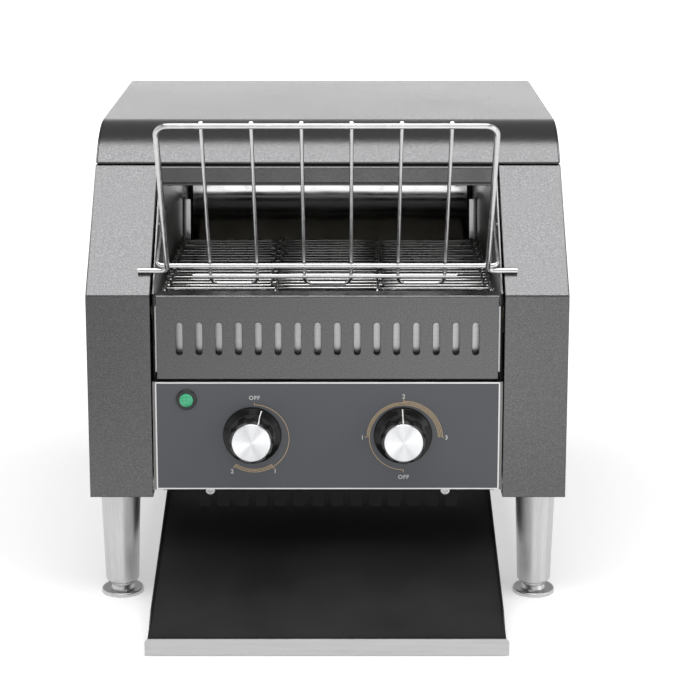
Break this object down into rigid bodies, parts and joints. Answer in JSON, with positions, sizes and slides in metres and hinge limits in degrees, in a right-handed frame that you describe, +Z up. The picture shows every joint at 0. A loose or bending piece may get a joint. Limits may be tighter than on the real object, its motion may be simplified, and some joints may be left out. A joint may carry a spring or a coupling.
{
  "type": "conveyor toaster",
  "caption": "Countertop conveyor toaster: wire belt through a heated tunnel, lean-on bread rack, two control knobs, slide-out exit tray, tall legs with screw feet.",
  "frame": {"origin": "middle of the overall box in X and Y, on the table the feet stand on", "axes": "+Z up, -Y towards the person at the controls, +X to that person's right"},
  "size_m": [0.3698, 0.4898, 0.3903],
  "materials": {
    "painted": "fine textured charcoal enamel, low sheen",
    "black": "smooth black enamel, satin",
    "steel": "brushed stainless steel",
    "bright": "bright polished stainless steel",
    "zinc": "zinc-plated steel",
    "wire": "bright drawn steel wire",
    "fascia": "slate grey printed film, matt",
    "knob": "black glossy plastic",
    "alu": "spun, radial brushing",
    "ceram": "steatite ceramic",
    "lens": "green translucent",
    "blackpl": "black moulded plastic",
    "white": "white moulded plastic",
    "wool": "mineral wool pad",
    "brass": "sintered bronze",
    "heater": "oxidised heater sheath",
    "castgrey": "grey cast gearbox and motor can",
    "foot": "turned stainless steel"
  },
  "bodies": {
    "housing": {"base_pan": "zinc", "belt_support_frame": "zinc", "cable_gland": "blackpl", "control_box": "steel", "control_fascia": "fascia", "control_panel_plate": "steel", "conveyor_belt": "wire", "deflector_brackets": "bright", "drive_chain": "zinc", "fan_frame": "blackpl", "finger_comb": "black", "front_crossbar": "painted", "front_heat_shield": "steel", "front_vent_panel": "painted", "function_switch_body": "white", "gear_motor": "castgrey", "heater_insulators": "ceram", "heater_tubes": "heater", "insulation_pad": "wool", "lamp_bezel": "blackpl", "lamp_lens": "lens", "left_inner_wall": "steel", "left_side_panel": "painted", "leg_nuts": "zinc", "legs": "foot", "lower_reflector": "steel", "panel_screws": "zinc", "rear_deflector": "bright", "rear_panel": "painted", "return_chute": "steel", "right_inner_wall": "steel", "right_side_panel": "painted", "roof_cover": "painted", "shaft_bushes": "brass", "speed_control_body": "blackpl", "terminal_block": "white", "thermal_cutout": "blackpl", "tray_hangers": "zinc", "upper_reflector": "bright"},
    "speed_knob": {"speed_knob": "knob", "speed_knob_cap": "alu", "speed_knob_spindle": "zinc"},
    "function_knob": {"function_knob": "knob", "function_knob_cap": "alu", "function_knob_spindle": "zinc"},
    "bread_rack": {"bread_rack": "wire"},
    "exit_tray": {"exit_tray": "black", "tray_lip": "steel"},
    "crumb_tray": {"crumb_tray": "steel"},
    "drive_shaft_set": {"drive_shaft": "steel", "drive_sprockets": "zinc", "driven_chain_sprocket": "zinc"},
    "idler_shaft_set": {"idler_shaft": "steel", "idler_sprockets": "zinc"},
    "motor_output": {"motor_sprocket": "zinc"},
    "fan_rotor": {"fan_rotor": "blackpl"},
    "foot_front_left": {"front_left_foot": "foot"},
    "foot_front_right": {"front_right_foot": "foot"},
    "foot_rear_left": {"rear_left_foot": "foot"},
    "foot_rear_right": {"rear_right_foot": "foot"}
  },
  "joints": [
    {"name": "speed_knob_turn", "type": "hinge", "parent": "housing", "child": "speed_knob", "pos_m": [-0.058, -0.14205, 0.1364], "axis": [0, 1, 0], "range_deg": [-18, 192]},
    {"name": "function_knob_turn", "type": "hinge", "parent": "housing", "child": "function_knob", "pos_m": [0.058, -0.14205, 0.1364], "axis": [0, 1, 0], "range_deg": [-180, 90]},
    {"name": "bread_rack_lift", "type": "slide", "parent": "housing", "child": "bread_rack", "axis": [0, -0.7166, 0.6975], "range_m": [0, 0.12]},
    {"name": "exit_tray_slide", "type": "slide", "parent": "housing", "child": "exit_tray", "axis": [0, -1, 0], "range_m": [0, 0.22]},
    {"name": "crumb_tray_slide", "type": "slide", "parent": "housing", "child": "crumb_tray", "axis": [0, 1, 0], "range_m": [0, 0.25]},
    {"name": "drive_shaft_spin", "type": "hinge", "parent": "housing", "child": "drive_shaft_set", "pos_m": [0, 0.08055, 0.22257], "axis": [1, 0, 0], "continuous": true},
    {"name": "idler_shaft_spin", "type": "hinge", "parent": "housing", "child": "idler_shaft_set", "pos_m": [0, -0.09705, 0.22257], "axis": [1, 0, 0], "continuous": true},
    {"name": "motor_output_spin", "type": "hinge", "parent": "housing", "child": "motor_output", "pos_m": [0.1415, 0.15795, 0.168], "axis": [1, 0, 0], "continuous": true},
    {"name": "fan_spin", "type": "hinge", "parent": "housing", "child": "fan_rotor", "pos_m": [-0.17, 0.13495, 0.138], "axis": [1, 0, 0], "continuous": true},
    {"name": "foot_front_left_adjust", "type": "slide", "parent": "housing", "child": "foot_front_left", "axis": [0, 0, -1], "range_m": [-0.001, 0.012]},
    {"name": "foot_front_right_adjust", "type": "slide", "parent": "housing", "child": "foot_front_right", "axis": [0, 0, -1], "range_m": [-0.001, 0.012]},
    {"name": "foot_rear_left_adjust", "type": "slide", "parent": "housing", "child": "foot_rear_left", "axis": [0, 0, -1], "range_m": [-0.001, 0.012]},
    {"name": "foot_rear_right_adjust", "type": "slide", "parent": "housing", "child": "foot_rear_right", "axis": [0, 0, -1], "range_m": [-0.001, 0.012]}
  ],
  "couplings": [
    {"joint": "idler_shaft_spin", "follows": "drive_shaft_spin", "ratio": 1},
    {"joint": "motor_output_spin", "follows": "drive_shaft_spin", "ratio": 2}
  ]
}
